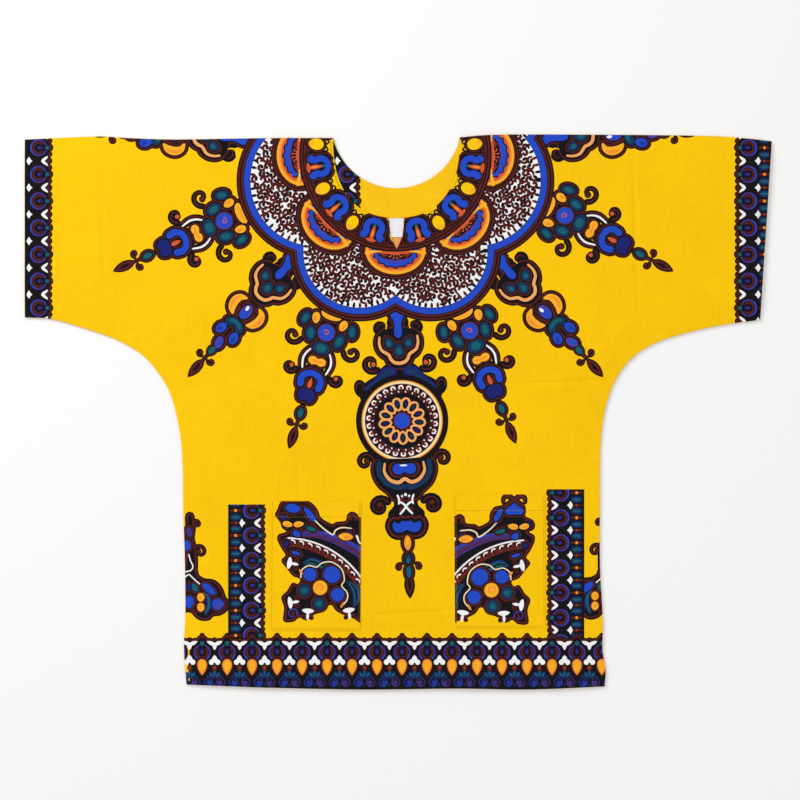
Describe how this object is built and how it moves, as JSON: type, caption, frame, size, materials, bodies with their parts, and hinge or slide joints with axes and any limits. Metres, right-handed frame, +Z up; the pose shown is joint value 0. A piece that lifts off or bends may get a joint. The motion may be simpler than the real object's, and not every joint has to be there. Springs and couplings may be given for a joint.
{
  "type": "dashiki shirt",
  "caption": "Dashiki shirt laid flat: kimono-cut front and back with a scoop neck, a V notch, a plain back neck facing, a bare label and patch pockets.",
  "frame": {"origin": "middle of the laid-out shirt's plan, on the surface that it lies on", "axes": "+X along the sleeves towards the wearer's left, +Y from the hem to the shoulder fold, +Z up out of the front"},
  "size_m": [1.0824, 0.8044, 0.0053],
  "materials": {
    "printed_cotton": "plain-weave cotton, golden yellow ground with a border and neck print, slight sheen",
    "facing_cotton": "the same cotton's plain yellow ground",
    "label_tape": "bare white woven tape"
  },
  "bodies": {
    "root": {"back": "printed_cotton", "front": "printed_cotton", "pocket_left": "printed_cotton", "pocket_right": "printed_cotton", "back_neck_facing": "facing_cotton", "label": "label_tape"}
  },
  "joints": []
}
